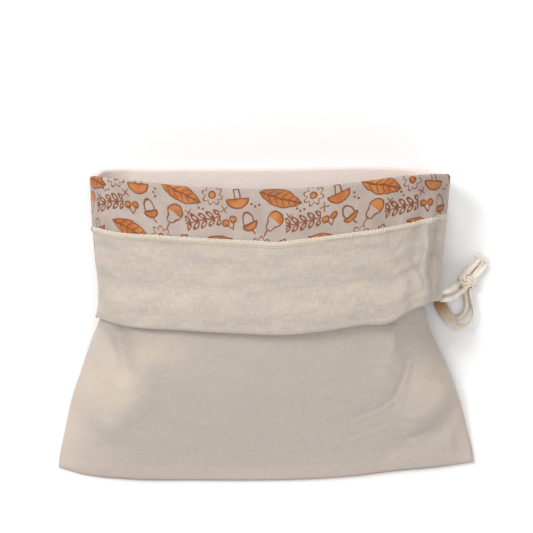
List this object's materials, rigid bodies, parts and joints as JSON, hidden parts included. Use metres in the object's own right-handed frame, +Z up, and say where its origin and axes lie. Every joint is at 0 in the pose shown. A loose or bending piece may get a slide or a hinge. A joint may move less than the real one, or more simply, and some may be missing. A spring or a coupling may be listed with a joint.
{
  "type": "waxed cotton bread bag",
  "caption": "Drawstring bread bag of natural cotton lying open on its back, its waxed lining turned down as a deep cuff, with a knotted cotton tape at one side.",
  "frame": {"origin": "middle of the bag's box at the surface that it lies on", "axes": "+X across the bag to the right, +Y from the bottom seam towards the open mouth, +Z up"},
  "size_m": [0.3642, 0.2666, 0.0946],
  "materials": {
    "cotton": "plain natural cotton, undyed, matt",
    "lining": "cotton print waxed with beeswax, faint sheen",
    "drawstring": "woven cotton tape, matt, frayed ends"
  },
  "bodies": {
    "root": {"cotton_front": "cotton", "cotton_rear": "cotton", "lining_front": "lining", "lining_rear": "lining", "drawstring_upper": "drawstring", "drawstring_lower": "drawstring", "drawstring_loop": "drawstring", "drawstring_knot": "drawstring", "drawstring_tail_left": "drawstring", "drawstring_tail_right": "drawstring"}
  },
  "joints": []
}
